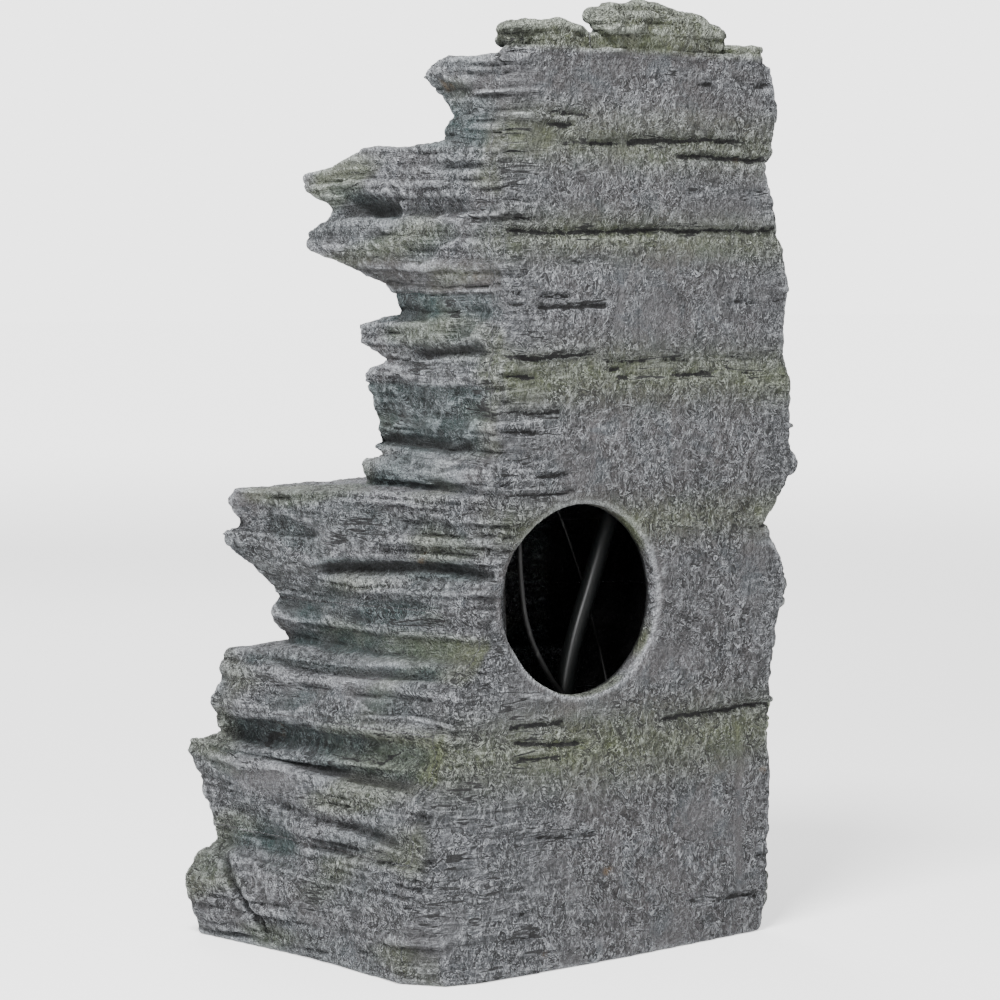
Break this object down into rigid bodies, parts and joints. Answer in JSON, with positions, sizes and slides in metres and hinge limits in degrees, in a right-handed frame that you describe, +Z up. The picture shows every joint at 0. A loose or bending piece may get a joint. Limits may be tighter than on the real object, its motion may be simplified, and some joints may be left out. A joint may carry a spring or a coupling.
{
  "type": "rock cascade fountain",
  "caption": "Tall hollow resin rock with stacked slate ledges, a round service hole in its flat rear wall, and a pump, hose and lamp inside.",
  "frame": {"origin": "middle of the bounding box, on the floor under the rock", "axes": "+Z up; the flat rear wall with the service hole faces +Y, the cascade faces -Y and +X is the side whose ledges step out furthest"},
  "size_m": [0.5778, 0.452, 1],
  "materials": {
    "rock": "matte",
    "pan_plastic": "satin",
    "pump_plastic": "satin",
    "dial_plastic": "satin",
    "rubber": "matte",
    "cord_rubber": "satin",
    "magnet": "satin",
    "shaft_ceramic": "gloss",
    "steel": "satin",
    "brass": "satin",
    "clear_hose": "gloss",
    "lens": "gloss"
  },
  "bodies": {
    "rock": {"rear_wall": "rock", "lower_cascade_shell": "rock", "upper_cascade_shell": "rock", "crown_slab": "rock", "crown_stone_low": "rock", "crown_boulder": "rock", "crown_stone_far": "rock", "reservoir_pan": "pan_plastic", "basin_grate": "pan_plastic", "cord_peg": "pan_plastic", "lead_clip_upper": "pan_plastic", "lead_clip_lower": "pan_plastic", "pump_housing": "pump_plastic", "pump_volute": "pump_plastic", "spill_fitting": "pump_plastic", "fitting_nut": "pump_plastic", "terminal_cap": "pump_plastic", "lamp_housing": "pump_plastic", "lamp_bezel": "pump_plastic", "seal_ring": "rubber", "suction_foot_1": "rubber", "suction_foot_2": "rubber", "suction_foot_3": "rubber", "suction_foot_4": "rubber", "cord_gland": "rubber", "fitting_washer": "rubber", "shaft_bush_rear": "rubber", "shaft_bush_front": "rubber", "power_cord": "cord_rubber", "power_coil": "cord_rubber", "power_tail": "cord_rubber", "plug_relief": "cord_rubber", "plug_body": "cord_rubber", "lamp_lead": "cord_rubber", "coil_tie": "cord_rubber", "impeller_shaft": "shaft_ceramic", "hose_clamp_pump": "steel", "hose_clamp_top": "steel", "plug_pins": "brass", "delivery_hose": "clear_hose", "lamp_lens": "lens"},
    "rotor": {"impeller": "dial_plastic", "rotor_magnet": "magnet"},
    "strainer": {"strainer_cage": "pump_plastic"},
    "dial": {"flow_dial": "dial_plastic"}
  },
  "joints": [
    {"name": "impeller_spin", "type": "hinge", "parent": "rock", "child": "rotor", "pos_m": [-0.048, 0.094, 0.05], "axis": [1, 0, 0], "continuous": true},
    {"name": "strainer_slide", "type": "slide", "parent": "rock", "child": "strainer", "axis": [1, 0, 0], "range_m": [0, 0.038]},
    {"name": "flow_dial_turn", "type": "hinge", "parent": "strainer", "child": "dial", "pos_m": [0.038, 0.094, 0.05], "axis": [1, 0, 0], "range_deg": [0, 90]}
  ]
}
